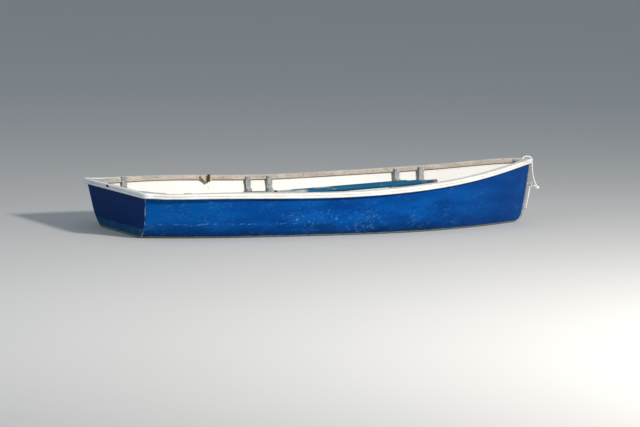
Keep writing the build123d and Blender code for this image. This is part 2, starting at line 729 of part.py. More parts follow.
def ring_centre():
    """Place of the ring: it bears on the front of the eye and droops."""
    droop = radians(BOW_RING_DROOP)
    inside = stem_x(BOW_EYE_HEIGHT) + BOW_EYE_STAND + BOW_EYE_RADIUS - BOW_EYE_WIRE
    wire_x = inside - BOW_RING_WIRE - BOW_RING_PLAY
    x = wire_x + BOW_RING_RADIUS * cos(droop)
    return Pos(x, 0, BOW_EYE_HEIGHT - BOW_RING_RADIUS * sin(droop))


def on_ring(angle, distance):
    """Point at a distance from the ring's centre, at an angle over the bow."""
    centre = ring_centre().position
    turned = radians(angle)
    return Pos(centre.X + distance * cos(turned), 0, centre.Z + distance * sin(turned))


def rope_hole():
    """Hole for the line in the breasthook, its upper edge eased with a round file."""
    x = (LINE_ROUTE[0][0] + LINE_ROUTE[1][0]) / 2
    ease = Cone(ROPE_HOLE, ROPE_HOLE + 2 * ROPE_HOLE_EASE, 2 * ROPE_HOLE_EASE)
    return Pos(x, 0, sheer_height(x)) * (Cylinder(ROPE_HOLE, INWALE_HEIGHT * 4) + ease)


def rope_tube(name, route):
    """Tube along a route: straight runs joined by the largest tangent arcs."""
    points = [Vector(*point) for point in route]
    radii = []
    for before, point, after in zip(points, points[1:], points[2:]):
        turn = radians((point - before).get_angle(after - point))
        shorter = min((point - before).length, (after - point).length)
        radii.append(ROPE_BEND * shorter / tan(turn / 2))
    path = FilletPolyline(*points, radius=radii)
    tube = sweep(Plane(points[0], z_dir=points[1] - points[0]) * Circle(ROPE / 2), path)
    print(name, "radii", [round(radius) for radius in radii])
    print(name, "volume over section times length",
          round(tube.volume / (path.length * pi * ROPE**2 / 4), 4))
    return tube


def rope():
    """The line over the bow, its knots, and its free end down the stem."""
    tilt = Rot(0, BOW_RING_DROOP, 0)
    loop = Torus(ROPE_LOOP, ROPE / 2)
    front = on_ring(-BOW_RING_DROOP, BOW_RING_RADIUS) * tilt * loop
    reach = BOW_RING_RADIUS + ROPE_LOOP + ROPE_KNOT + ROPE / 4
    knot = on_ring(-BOW_RING_DROOP, reach) * Sphere(ROPE_KNOT)
    hitch = on_ring(ROPE_HITCH_ANGLE, BOW_RING_RADIUS) * Rot(0, -ROPE_HITCH_ANGLE, 0) * loop
    stopper = Pos(LINE_ROUTE[0][0], 0, LINE_ROUTE[0][2] - ROPE_STOPPER - GAP)
    return {
        "rope_line": rope_tube("rope_line", LINE_ROUTE),
        "rope_tail": rope_tube("rope_tail", TAIL_ROUTE),
        "rope_knot": knot + front,
        "rope_hitch": hitch,
        "rope_stopper": stopper * Sphere(ROPE_STOPPER),
    }


def build():
    pieces = {}
    pieces.update(hull())
    pieces.update(keel())
    pieces.update(stem_band())
    pieces.update(guard())
    pieces.update(gunwale_timbers())
    for seat in seats():
        pieces.update(seat_pieces(seat))
    pieces.update(thwart_post())
    pieces.update(bottom_boards())
    pieces.update(rowlock_pad())
    pieces.update(oars())
    pieces.update(bow_metal())
    pieces.update(rope())
    return pieces


os.makedirs("parts", exist_ok=True)
for name, piece in build().items():
    export_step(piece, "parts/" + name + ".step")
    print(name, round(piece.volume / 1000), "cm3")
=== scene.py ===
import bmesh
import bpy
import math
from mathutils import Matrix, Vector
from mathutils.bvhtree import BVHTree
from mathutils.kdtree import KDTree


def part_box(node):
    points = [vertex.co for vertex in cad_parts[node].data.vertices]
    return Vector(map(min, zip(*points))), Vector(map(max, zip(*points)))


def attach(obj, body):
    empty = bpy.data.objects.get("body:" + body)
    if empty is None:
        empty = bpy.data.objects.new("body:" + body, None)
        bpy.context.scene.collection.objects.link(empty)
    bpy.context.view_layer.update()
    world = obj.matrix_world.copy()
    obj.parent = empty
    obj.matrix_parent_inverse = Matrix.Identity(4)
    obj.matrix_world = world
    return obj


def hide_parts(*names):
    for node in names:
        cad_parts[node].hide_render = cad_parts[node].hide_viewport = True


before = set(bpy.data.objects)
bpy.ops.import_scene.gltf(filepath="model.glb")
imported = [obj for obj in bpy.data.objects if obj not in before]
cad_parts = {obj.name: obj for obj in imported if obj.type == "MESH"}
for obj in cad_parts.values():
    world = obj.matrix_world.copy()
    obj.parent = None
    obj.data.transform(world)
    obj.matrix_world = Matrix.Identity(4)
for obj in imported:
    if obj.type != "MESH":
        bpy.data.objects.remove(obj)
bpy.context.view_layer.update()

# The hull
# One laminate of glass cloth and resin, laid up in a mould from transom to stem.
# The outside is a bright blue gel coat, scratched and scuffed with use, with a
# pale scum line where it floats; the inside is painted white.

TRANSOM_TOP = Vector((-1.75, 0.0, 0.352))
TRANSOM_RAKE = math.radians(8.0)
TRANSOM_CORNER = 0.0035
SMOOTH_ANGLE = 35.0


class Shade:
    """A node socket that can be used in arithmetic: each operator adds a Math node."""

    def __init__(self, finish, socket):
        self.finish = finish
        self.socket = socket

    def math(self, operation, *values):
        node = self.finish.tree.nodes.new("ShaderNodeMath")
        node.operation = operation
        for place, value in zip(node.inputs, (self, *values)):
            self.finish.feed(place, value)
        return Shade(self.finish, node.outputs[0])

    def __add__(self, other):
        return self.math("ADD", other)

    def __mul__(self, other):
        return self.math("MULTIPLY", other)

    def __sub__(self, other):
        return self.math("SUBTRACT", other)

    def __rsub__(self, other):
        return (self * -1.0).math("ADD", other)

    def __truediv__(self, other):
        return self.math("DIVIDE", other)

    def above(self, edge, soft=0.02):
        """0 under an edge and 1 over it, with a soft step between."""
        return self.finish.node(
            "ShaderNodeMapRange",
            {"interpolation_type": "SMOOTHSTEP", "clamp": True},
            {"Value": self, "From Min": edge - soft, "From Max": edge + soft},
        )

    def below(self, edge, soft=0.02):
        return 1.0 - self.above(edge, soft)

    def near(self, middle, reach):
        """1 at a value, falling to 0 at a reach on either side of it."""
        return 1.0 - (self - middle).math("ABSOLUTE").above(reach * 0.5, reach * 0.5)

    def clamped(self):
        return self.math("MINIMUM", 1.0).math("MAXIMUM", 0.0)


class Finish:
    """A material under construction, from the object's own coordinates in metres."""

    def __init__(self, name, roughness=0.5, **plain):
        self.material = bpy.data.materials.new(name)
        self.material.use_nodes = True
        self.tree = self.material.node_tree
        self.surface = self.tree.nodes["Principled BSDF"]
        self.surface.inputs["Roughness"].default_value = roughness
        for socket, value in plain.items():
            self.surface.inputs[socket.replace("_", " ")].default_value = value
        self.place = self.node("ShaderNodeTexCoord", output="Object")
        parts = self.tree.nodes.new("ShaderNodeSeparateXYZ")
        self.feed(parts.inputs[0], self.place)
        self.x, self.y, self.z = (Shade(self, socket) for socket in parts.outputs)

    def feed(self, place, value):
        """Gives a socket a value or a link."""
        if isinstance(value, Shade):
            self.tree.links.new(value.socket, place)
        else:
            place.default_value = value

    def node(self, kind, settings=None, inputs=None, output=0):
        """Adds a node: its settings first, then its inputs, and returns an output."""
        node = self.tree.nodes.new(kind)
        for setting, value in (settings or {}).items():
            setattr(node, setting, value)
        for place, value in (inputs or {}).items():
            self.feed(node.inputs[place], value)
        return Shade(self, node.outputs[output])

    def vector(self, x, y, z):
        return self.node("ShaderNodeCombineXYZ", inputs={0: x, 1: y, 2: z})

    def stretched(self, x=1.0, y=1.0, z=1.0):
        """The object's own coordinates, each times a factor: over 1 makes marks shorter."""
        return self.vector(self.x * x, self.y * y, self.z * z)

    def noise(self, scale, detail=3.0, place=None, roughness=0.5, distortion=0.0):
        inputs = {
            "Vector": place or self.place,
            "Scale": scale,
            "Detail": detail,
            "Roughness": roughness,
            "Distortion": distortion,
        }
        return self.node("ShaderNodeTexNoise", inputs=inputs)

    def attribute(self, name, output="Fac"):
        return self.node("ShaderNodeAttribute", {"attribute_name": name}, output=output)

    def mix(self, share, first, second):
        """Blends two colours by a share from 0 to 1."""
        node = self.tree.nodes.new("ShaderNodeMix")
        node.data_type = "RGBA"
        self.feed(node.inputs["Factor"], share)
        for place, colour in ((node.inputs[6], first), (node.inputs[7], second)):
            self.feed(place, colour if isinstance(colour, Shade) else (*colour, 1.0))
        return Shade(self, node.outputs[2])

    def finish(self, colour, roughness=None, height=None, depth=0.001):
        """Connects what varies to the surface; height is in metres times depth."""
        self.feed(self.surface.inputs["Base Color"], colour)
        if roughness is not None:
            self.feed(self.surface.inputs["Roughness"], roughness)
        if height is not None:
            inputs = {"Height": height, "Distance": depth, "Strength": 1.0}
            self.feed(self.surface.inputs["Normal"], self.node("ShaderNodeBump", inputs=inputs))
        return self.material


def scratches(finish, angle, pitch, length, share, seed):
    """Fine straight scratches at one angle over the side, thinned to a share."""
    turn = math.radians(angle)
    along = finish.x * math.cos(turn) + finish.z * math.sin(turn)
    across = finish.z * math.cos(turn) - finish.x * math.sin(turn)
    place = finish.vector(along / length + seed, across / pitch, finish.y * 3.0)
    return finish.noise(1.0, 1.0, place, distortion=0.9).above(1.0 - share, 0.035)


def scum_line(paint, colour):
    """Pale deposit just over the waterline, and weed at it and below."""
    edge = paint.noise(11.0, 4.0) * 0.010 + 0.009
    weed = paint.noise(60.0, 4.0)
    scum = (edge - paint.z).above(0.0, 0.0025)
    pale = paint.mix(weed.above(0.5, 0.2), (0.12, 0.17, 0.14), (0.21, 0.26, 0.235))
    colour = paint.mix(scum, colour, pale)
    slime = paint.mix(weed, (0.010, 0.030, 0.016), (0.028, 0.05, 0.026))
    return paint.mix(paint.z.below(weed * 0.004 + 0.0015, 0.0015), colour, slime), scum


def rim_wear(paint, colour):
    """Gel coat and glass worn to a whitish grey along the top of the shell."""
    rim = paint.attribute("under").below(0.0065, 0.0015)
    grey = paint.mix(paint.noise(14.0, 3.0), (0.44, 0.42, 0.38), (0.58, 0.565, 0.54))
    return paint.mix(rim, colour, grey)


def side_paint():
    """Gel coat of the topsides, with its scuffs and scratches."""
    paint = Finish("topside_blue", roughness=0.4, Specular_IOR_Level=0.03)
    blue = (0.0004, 0.053, 0.250)
    bright = (0.0012, 0.078, 0.31)
    deep = (0.0003, 0.036, 0.175)
    drift = paint.stretched(x=1.4, z=5.0)
    patches = paint.noise(2.6, 4.0, drift)
    colour = paint.mix(patches.above(0.5, 0.16), blue, bright)
    colour = paint.mix(paint.noise(1.7, 3.0, drift).above(0.55, 0.15) * 0.75, colour, deep)
    # Painted shade darkens the blue towards the bow, and painted light brightens it towards the
    # stern
    colour = paint.mix(paint.x.above(0.75, 0.7) * 0.45, colour, (0.0003, 0.024, 0.13))
    colour = paint.mix(paint.x.below(-1.2, 0.3) * 0.5, colour, (0.0012, 0.085, 0.32))
    # Darker patches low on the side
    low_dark_patches = paint.noise(3.4, 5.0, drift).above(0.54, 0.10) * paint.z.below(0.10, 0.07)
    colour = paint.mix(low_dark_patches * 0.4, colour, (0.0012, 0.022, 0.09))
    # Painted shade low down on the side, where it would mirror dark water: darker towards the
    # waterline and reaching less high at the bow
    forward = paint.x.above(0.85, 0.5)
    painted_shade_height = patches * 0.06 + 0.015 - forward * 0.075
    colour = paint.mix(paint.z.below(painted_shade_height, 0.075) * 0.8, colour, (0.0008, 0.014, 0.062))
    # Wisps all over, then clusters of grazes low down and a rubbed line towards the stern
    clusters = paint.noise(6.0, 3.0).above(0.54, 0.08)
    knocks = paint.x.near(-0.28, 0.62) * paint.z.near(0.12, 0.13)
    steep = scratches(paint, 34.0, 0.0052, 0.060, 0.325, 3.0)
    shallow = scratches(paint, -9.0, 0.0050, 0.055, 0.315, 11.0)
    wisps = (steep + shallow).clamped() * (clusters * 0.5 + 0.10)
    chips = paint.noise(34.0, 4.0, roughness=0.6).above(0.63, 0.035)
    chips = chips * (knocks * 0.85 + clusters * paint.z.below(0.17, 0.10) * 0.25)
    rub_height = paint.noise(5.0, 3.0) * 0.034 + 0.092
    rub = (paint.z - rub_height).near(0.0, 0.010) * paint.x.below(-0.55, 0.3)
    rub = rub * paint.noise(26.0, 3.0, paint.stretched(z=3.0)).above(0.54, 0.06)
    marks = (wisps + chips + rub * 0.6).clamped()
    colour = paint.mix(marks * (0.55 - forward * 0.3), colour, (0.13, 0.29, 0.50))
    white = paint.noise(21.0, 4.0, roughness=0.65).above(0.70, 0.02) * (knocks + 0.15)
    colour = paint.mix(white.clamped() * 0.7, colour, (0.42, 0.50, 0.57))
    colour = rim_wear(paint, colour)
    colour, scum = scum_line(paint, colour)
    roughness = patches * 0.1 + marks * 0.2 + scum * 0.3 + 0.34
    return paint.finish(colour, roughness, patches * 0.4 - marks, 0.0003)


def transom_paint():
    """The same gel coat, duller and painted darker as painted shade, with a chalky band over the
    waterline.
    """
    paint = Finish("transom_blue", roughness=0.5, Specular_IOR_Level=0.03)
    cloud = paint.noise(3.0, 5.0, paint.stretched(z=2.0))
    # The blue is about half the side's: painted shade on the transom
    colour = paint.mix(cloud.above(0.5, 0.25), (0.0003, 0.025, 0.125), (0.0004, 0.030, 0.137))
    chalk = (cloud * 0.022 + 0.058 - paint.z).above(0.0, 0.006)
    colour = paint.mix(chalk * 0.8, colour, (0.007, 0.080, 0.20))
    streaks = paint.noise(20.0, 3.0, paint.stretched(z=0.5))
    colour = paint.mix(streaks.above(0.56, 0.1) * chalk * 0.4, colour, (0.05, 0.15, 0.24))
    grazes = paint.noise(38.0, 4.0).above(0.68, 0.03) * cloud.above(0.5, 0.1)
    colour = paint.mix(grazes * 0.2, colour, (0.08, 0.16, 0.27))
    colour, scum = scum_line(paint, rim_wear(paint, colour))
    return paint.finish(colour, scum * 0.3 + 0.46, grazes * -1.0, 0.0003)


def worn_and_highlit_corner():
    """Pale line along the corners of the transom: gel coat rubbed through to primer, with a
    painted highlight on the edge.
    """
    paint = Finish("worn_and_highlit_corner", roughness=0.55, Specular_IOR_Level=0.03)
    bare = paint.z.above(0.255, 0.03) + paint.z.below(0.05, 0.03) * 0.7
    rubbed = (paint.noise(24.0, 4.0) + bare * 0.22).above(0.56, 0.11)
    # Pale primer and painted highlight along the edge
    colour = paint.mix(rubbed, (0.001, 0.055, 0.24), (0.34, 0.42, 0.50))
    colour, scum = scum_line(paint, colour)
    return paint.finish(colour, scum * 0.2 + 0.5)


def interior_white():
    """White paint, chipped here and there, and stained low down."""
    paint = Finish("interior_white", roughness=0.5, Specular_IOR_Level=0.3)
    stain = paint.noise(3.0, 5.0)
    colour = paint.mix(stain.above(0.56, 0.2) * 0.35, (0.83, 0.81, 0.765), (0.76, 0.735, 0.685))
    chips = paint.noise(55.0, 3.0).above(0.70, 0.02) * paint.noise(5.0, 2.0).above(0.55, 0.06)
    colour = paint.mix(chips, colour, (0.38, 0.33, 0.27))
    bilge = paint.z.below(-0.01, 0.05)
    colour = paint.mix(bilge * (stain * 0.8 + 0.2), colour, (0.42, 0.39, 0.33))
    return paint.finish(colour, stain * 0.2 + 0.4, paint.noise(90.0, 2.0), 0.0003)


def welded(node):
    """A bmesh of a CAD node, its doubled vertices merged."""
    shape = bmesh.new()
    shape.from_mesh(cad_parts[node].data)
    bmesh.ops.remove_doubles(shape, verts=shape.verts, dist=1e-5)
    return shape


def mesh_of(name, shape):
    """A new mesh from a bmesh, which is used up."""
    mesh = bpy.data.meshes.new(name)
    shape.to_mesh(mesh)
    shape.free()
    return mesh


def placed(name, data):
    """Puts a mesh, a lamp or a camera into the scene as an object."""
    piece = bpy.data.objects.new(name, data)
    bpy.context.scene.collection.objects.link(piece)
    return piece


def apply_modifiers(piece):
    """Turns a piece's modifiers into its mesh."""
    shown = piece.evaluated_get(bpy.context.evaluated_depsgraph_get())
    mesh = bpy.data.meshes.new_from_object(shown)
    piece.modifiers.clear()
    piece.data = mesh


def smooth(piece, angle=SMOOTH_ANGLE):
    """Smooth shading, with edges kept sharp where faces meet at over an angle."""
    piece.data.shade_smooth()
    piece.data.set_sharp_from_angle(angle=math.radians(angle))


def seat(piece, slot, *nodes):
    """The last step for every piece: it rides on the boat and stands for nodes."""
    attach(piece, "root")
    if nodes:
        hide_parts(*nodes)


def mark_depth(shape, name, unit=1.0):
    """Stores at each vertex how far it lies under the nearest part of the sheer."""
    depth = shape.verts.layers.float.new(name)
    shape.verts.ensure_lookup_table()
    tops = KDTree(len(shape.verts))
    for vertex in shape.verts:
        if vertex.co.z > 0.3 and any(face.normal.z > 0.9 for face in vertex.link_faces):
            tops.insert(vertex.co * Vector((1, 1, 0)), vertex.index)
    tops.balance()
    for vertex in shape.verts:
        _, index, _ = tops.find(vertex.co * Vector((1, 1, 0)))
        vertex[depth] = (shape.verts[index].co.z - vertex.co.z) / unit


def hull_piece():
    """The shell with its four finishes and a rubbed round along the transom's edge."""
    outside, inside, stern, corner = range(4)
    aft = Vector((-math.cos(TRANSOM_RAKE), 0.0, -math.sin(TRANSOM_RAKE)))
    shape = welded("hull_shell")
    shape.verts.index_update()
    shape.normal_update()
    mark_depth(shape, "under")
    # A face is inside when it looks towards a line along the boat's middle
    for face in shape.faces:
        middle = face.calc_center_median()
        inward = Vector((max(-1.3, min(1.2, middle.x)), 0.0, 0.25)) - middle
        face.material_index = inside if face.normal.dot(inward) > 0 else outside
        off_plane = abs((middle - TRANSOM_TOP).dot(aft))
        if face.normal.dot(aft) > 0.999 and off_plane < 0.001:
            face.material_index = stern
    rim = [
        edge for edge in shape.edges
        if sorted(face.material_index for face in edge.link_faces) == [outside, stern]
    ]
    bmesh.ops.bevel(
        shape, geom=rim, offset=TRANSOM_CORNER, segments=2, profile=0.5, material=corner,
        affect="EDGES",
    )
    hull = placed("hull", mesh_of("hull", shape))
    for material in (side_paint(), interior_white(), transom_paint(), worn_and_highlit_corner()):
        hull.data.materials.append(material)
    smooth(hull, 28.0)
    for face in hull.data.polygons:
        if face.material_index == stern:
            face.use_smooth = False
    seat(hull, "hull_paint", "hull_shell")
    return hull


hull = hull_piece()

# Keel and stem band
# The outside keel is a plank on edge under the bottom, with a skeg at its after
# end, bolted through the laminate and painted dark. A metal strip covers the stem.

BAND_SCREW = (0.0045, 0.0012)
BAND_SCREW_HEIGHTS = [0.03 + 0.075 * step for step in range(6)]


def keel_paint():
    """Dark bottom paint with some growth on it."""
    paint = Finish("keel_dark", roughness=0.6)
    growth = paint.noise(18.0, 5.0)
    colour = paint.mix(growth, (0.012, 0.035, 0.045), (0.035, 0.07, 0.05))
    return paint.finish(colour, growth * 0.3 + 0.5, growth, 0.002)


def worn_metal(name, bright, dull, roughness):
    """Metal with duller stains on it."""
    metal = Finish(name, roughness=roughness, Metallic=0.85)
    stain = metal.noise(60.0, 5.0)
    colour = metal.mix(stain.above(0.5, 0.15), bright, dull)
    return metal.finish(colour, stain * 0.35 + roughness, metal.noise(300.0, 2.0), 0.0002)


def eased(piece, width):
    """Rounds a piece's corners over a width."""
    ease = piece.modifiers.new("ease", "BEVEL")
    ease.width = width
    ease.segments = 2
    ease.limit_method = "ANGLE"
    ease.angle_limit = math.radians(40.0)
    apply_modifiers(piece)


def finished_copy(name, node, slot, material, edge=0.0):
    """A CAD node in one finish, its edges eased."""
    piece = placed(name, mesh_of(name, welded(node)))
    piece.data.materials.append(material)
    if edge:
        eased(piece, edge)
    smooth(piece)
    seat(piece, slot, node)
    return piece


def stud_tree():
    """Node tree that sets a low round head on each point, square to its facing."""
    tree = bpy.data.node_groups.new("stud_heads", "GeometryNodeTree")
    sockets = (
        ("Geometry", "INPUT", "NodeSocketGeometry"),
        ("Head radius", "INPUT", "NodeSocketFloat"),
        ("Head height", "INPUT", "NodeSocketFloat"),
        ("Size variation", "INPUT", "NodeSocketFloat"),
        ("Seed", "INPUT", "NodeSocketInt"),
        ("Material", "INPUT", "NodeSocketMaterial"),
        ("Geometry", "OUTPUT", "NodeSocketGeometry"),
    )
    for name, way, kind in sockets:
        tree.interface.new_socket(name, in_out=way, socket_type=kind)

    def node(kind, inputs, **settings):
        """Adds a node, gives each of its inputs a link or a value, returns its outputs."""
        made = tree.nodes.new(kind)
        for setting, value in settings.items():
            setattr(made, setting, value)
        for place, source in inputs.items():
            if isinstance(source, bpy.types.NodeSocket):
                tree.links.new(source, made.inputs[place])
            else:
                made.inputs[place].default_value = source
        return made.outputs

    given = node("NodeGroupInput", {})
    top = node("ShaderNodeMath", {0: given["Head radius"], 1: 0.62}, operation="MULTIPLY")
    cone = {
        "Vertices": 14,
        "Radius Bottom": given["Head radius"],
        "Radius Top": top[0],
        "Depth": given["Head height"],
    }
    head = node("GeometryNodeMeshCone", cone)
    facing = node("GeometryNodeInputNamedAttribute", {"Name": "facing"}, data_type="FLOAT_VECTOR")
    turn = node("FunctionNodeAlignRotationToVector", {"Vector": facing[0]}, axis="Z")
    least = node("ShaderNodeMath", {0: 1.0, 1: given["Size variation"]}, operation="SUBTRACT")
    size_inputs = {2: least[0], 3: 1.0, "Seed": given["Seed"]}
    size = node("FunctionNodeRandomValue", size_inputs, data_type="FLOAT")
    spread = {
        "Points": given["Geometry"],
        "Instance": head["Mesh"],
        "Rotation": turn[0],
        "Scale": size[1],
    }
    heads = node("GeometryNodeInstanceOnPoints", spread)
    real = node("GeometryNodeRealizeInstances", {"Geometry": heads[0]})
    finish = {"Geometry": real[0], "Material": given["Material"]}
    finished = node("GeometryNodeSetMaterial", finish)
    node("NodeGroupOutput", {"Geometry": finished[0]})
    return tree


def surface_of(piece):
    """A piece's faces, for rays to meet."""
    return BVHTree.FromPolygons(
        [vertex.co for vertex in piece.data.vertices],
        [face.vertices for face in piece.data.polygons],
    )


def studs(name, piece, starts, way, size, material, slot, variation=0.15):
    """Fastener heads where rays from the starts meet a piece, square to its surface.

    A head's size is its radius and its height.
    """
    surface = surface_of(piece)
    direction = Vector(way)
    places, facings = [], []
    for start in starts:
        place, normal, _, _ = surface.ray_cast(Vector(start), direction)
        if place is not None:
            places.append(place)
            facings.append(normal if normal.dot(direction) < 0 else -normal)
    mesh = bpy.data.meshes.new(name)
    mesh.from_pydata(places, [], [])
    facing = mesh.attributes.new("facing", "FLOAT_VECTOR", "POINT")
    facing.data.foreach_set("vector", [value for normal in facings for value in normal])
    heads = placed(name, mesh)
    tree = bpy.data.node_groups.get("stud_heads") or stud_tree()
    values = {
        "Head radius": size[0],
        "Head height": size[1],
        "Size variation": variation,
        "Seed": 7,
        "Material": material,
    }
    modifier = heads.modifiers.new("heads", "NODES")
    modifier.node_group = tree
    for item in tree.interface.items_tree:
        if item.name in values:
            modifier[item.identifier] = values[item.name]
    apply_modifiers(heads)
    smooth(heads)
    seat(heads, slot)


finished_copy("outside_keel", "keel", "keel_paint", keel_paint(), 0.002)
band_metal = worn_metal("stem_band_metal", (0.50, 0.51, 0.50), (0.28, 0.30, 0.30), 0.35)
stem_strip = finished_copy("stem_strip", "stem_band", "band_metal", band_metal, 0.0008)
screw_metal = worn_metal("screw_metal", (0.42, 0.42, 0.40), (0.20, 0.19, 0.17), 0.4)
starts = [(2.0, 0.0, height) for height in BAND_SCREW_HEIGHTS]
studs("stem_band_screws", stem_strip, starts, (-1, 0, 0), BAND_SCREW, screw_metal, "band_metal")

# Guard round the gunwale
# A soft fender of rope and rubber under painted canvas, nailed along the sheer
# from the stem round both quarters and across the transom.

TEAR = Vector((-1.782, 0.074, 0.335))
QUARTER_JOINT = Vector((-1.7247, 0.588, 0.33))
QUARTER_WAY = Vector((0.969, 0.247, 0.0))
STERN_RUN = -1.72
GUARD_HEIGHT = 0.037
GUARD_MIDDLE = 0.019
GUARD_EDGE = 0.0035
TACK = (0.0032, 0.0012)
TACK_PLACES = [-1.70 + 0.055 * step for step in range(62)]
FAIR_FROM = 0.03
FAIR_OVER = 0.09


def guard_canvas():
    """Painted canvas: grime, a darker groove, a dark lower lip and a torn place aft."""
    canvas = Finish("guard_canvas", roughness=0.85, Specular_IOR_Level=0.2)
    grime = canvas.noise(6.0, 6.0)
    colour = canvas.mix(grime.above(0.52, 0.2), (0.83, 0.815, 0.77), (0.70, 0.675, 0.62))
    # Painted light: the stern run, which lies in shade, is made whiter and bluer as if lit by the
    # sky
    colour = canvas.mix(canvas.x.below(STERN_RUN, 0.02) * 0.75, colour, (0.94, 0.95, 0.97))
    streaks = canvas.noise(1.0, 4.0, canvas.stretched(6.0, 6.0, 70.0))
    colour = canvas.mix(streaks.above(0.60, 0.07) * 0.45, colour, (0.52, 0.49, 0.44))
    drop = canvas.attribute("drop")
    groove = drop.near(0.5, 0.13) * (canvas.noise(11.0, 3.0) * 0.9 + 0.1)
    colour = canvas.mix(groove.clamped(), colour, (0.48, 0.45, 0.40))
    lower = drop.above(0.86, 0.10) * canvas.noise(17.0, 4.0).above(0.45, 0.12)
    colour = canvas.mix(lower * 0.55, colour, (0.36, 0.35, 0.33))
    specks = canvas.noise(70.0, 3.0).above(0.72, 0.02) * canvas.noise(4.0, 2.0).above(0.5, 0.08)
    colour = canvas.mix(specks * 0.8, colour, (0.20, 0.17, 0.14))
    across = (canvas.y - TEAR.y) / 0.030
    upward = (canvas.z - TEAR.z) / 0.010
    frayed = across * across + upward * upward + canvas.noise(40.0, 3.0) * 0.7
    hole = frayed.below(1.15, 0.12) * canvas.x.below(STERN_RUN, 0.01)
    colour = canvas.mix(hole, colour, (0.035, 0.035, 0.04))
    weave = canvas.noise(520.0, 1.0) * 0.25
    wrinkles = canvas.noise(16.0, 3.0, canvas.stretched(2.2, 2.2))
    return canvas.finish(colour, 0.85, weave + wrinkles - hole * 2.0 - groove * 0.5, 0.0012)


def butts(place, way):
    """Whether a point lies in the plane where a run ends, at a quarter or the stem."""
    if way == 0:
        return place.x > 1.7 and abs(place.y) < 0.0007
    away = place - Vector((QUARTER_JOINT.x, QUARTER_JOINT.y * way, QUARTER_JOINT.z))
    along = Vector((QUARTER_WAY.x, QUARTER_WAY.y * way, 0.0))
    return away.length < 0.06 and abs(away.dot(along)) < 0.0008


def fair_quarter(side_run, stern_run, way):
    """Eases both runs of a quarter to each other, where one stands a little proud."""
    ends = []
    for run in (side_run, stern_run):
        open_end = [v.co for v in run.verts if v.is_boundary and butts(v.co, way)]
        low = Vector([min(place[axis] for place in open_end) for axis in range(3)])
        high = Vector([max(place[axis] for place in open_end) for axis in range(3)])
        ends.append((low + high) / 2)
    step = (ends[1] - ends[0]) / 2
    for run, end, shift in ((side_run, ends[0], step), (stern_run, ends[1], -step)):
        for vertex in run.verts:
            away = ((vertex.co - end).length - FAIR_FROM) / FAIR_OVER
            away = max(0.0, min(1.0, away))
            vertex.co += shift * (1 - away * away * (3 - 2 * away))


def guard_piece(nodes):
    """The three runs of the guard as one canvas, without the faces that butt."""
    runs = {node: welded(node) for node in nodes}
    for run in runs.values():
        butted = [
            face for face in run.faces
            if any(all(butts(vertex.co, way) for vertex in face.verts) for way in (-1, 0, 1))
        ]
        bmesh.ops.delete(run, geom=butted, context="FACES")
    for side, way in (("port", 1), ("starboard", -1)):
        fair_quarter(runs["guard_" + side], runs["guard_stern"], way)
    whole = bmesh.new()
    for run in runs.values():
        whole.from_mesh(mesh_of("run", run))
    # The canvas runs on over the joints, at the stem and at both quarters
    joints = {"stem": [], "port": [], "starboard": []}
    for edge in whole.edges:
        if len(edge.link_faces) == 1:
            middle = (edge.verts[0].co + edge.verts[1].co) / 2
            quarter = "port" if middle.y > 0 else "starboard"
            joints["stem" if middle.x > 0 else quarter].append(edge)
    for joint in joints.values():
        corners = list(dict.fromkeys(vertex for edge in joint for vertex in edge.verts))
        bmesh.ops.bridge_loops(whole, edges=joint)
        bmesh.ops.remove_doubles(whole, verts=corners, dist=0.0012)
    bmesh.ops.recalc_face_normals(whole, faces=whole.faces)
    mark_depth(whole, "drop", GUARD_HEIGHT)
    guard = placed("guard", mesh_of("guard", whole))
    guard.data.materials.append(guard_canvas())
    eased(guard, GUARD_EDGE)
    smooth(guard, 50.0)
    seat(guard, "guard_canvas", *nodes)
    return guard


def tack_starts(surface, way):
    """Points over the middle of the guard's top, along one side."""
    starts = []
    for x in TACK_PLACES:
        for height in (0.46, 0.42, 0.38, 0.345, 0.325):
            place, _, _, _ = surface.ray_cast(Vector((x, way * 1.2, height)), Vector((0, -way, 0)))
            if place is not None and place.y * way > 0:
                starts.append((x, place.y - way * GUARD_MIDDLE, 1.0))
                break
    return starts


guard = guard_piece(("guard_port", "guard_starboard", "guard_stern"))
tack_metal = worn_metal("tack_copper", (0.24, 0.20, 0.15), (0.10, 0.14, 0.11), 0.5)
for side, way in (("port", 1), ("starboard", -1)):
    name = "guard_tacks_" + side
    starts = tack_starts(surface_of(guard), way)
    studs(name, guard, starts, (0, 0, -1), TACK, tack_metal, "guard_canvas")

# Gunwale timbers
# Bare hardwood inside the sheer: bent inwales, a rail across the transom and flat
# knees at the quarters and the stem, all bleached by the sun. The inwales are planed
# thinner here than in the source, and the breasthook is sawn shorter.

PLANED_BELOW = 0.030
PLANED_OFF = 0.006
BREASTHOOK_END = 1.632
PLUG = (0.0042, 0.0010)
PLUG_PLACES = [-1.60 + 0.112 * step for step in range(29)]
TIMBER_EDGE = 0.002


def bare_wood(name, pale, dark, grain_axis="x", stretch=14.0):
    """Weathered wood: grain and darker bands along an axis, and bleached spots."""
    wood = Finish(name, roughness=0.7, Specular_IOR_Level=0.25)
    shares = [stretch if axis == grain_axis else 1.0 for axis in "xyz"]
    place = wood.vector(wood.x / shares[0], wood.y / shares[1], wood.z / shares[2])
    grain = wood.noise(150.0, 4.0, place, 0.6)
    bands = wood.noise(34.0, 3.0, place)
    colour = wood.mix(grain.above(0.5, 0.16), pale, dark)
    colour = wood.mix(bands.above(0.56, 0.12) * 0.35, colour, tuple(c * 0.62 for c in dark))
    spots = wood.noise(9.0, 3.0).above(0.6, 0.1) * 0.35
    colour = wood.mix(spots, colour, tuple(min(1.0, c * 1.25) for c in pale))
    return wood.finish(colour, grain * 0.2 + 0.6, grain, 0.0007)


def other_wood(piece, wood, way, least):
    """Gives a piece's faces that look one way another wood."""
    piece.data.materials.append(wood)
    for face in piece.data.polygons:
        if face.normal.dot(Vector(way)) > least:
            face.material_index = len(piece.data.materials) - 1


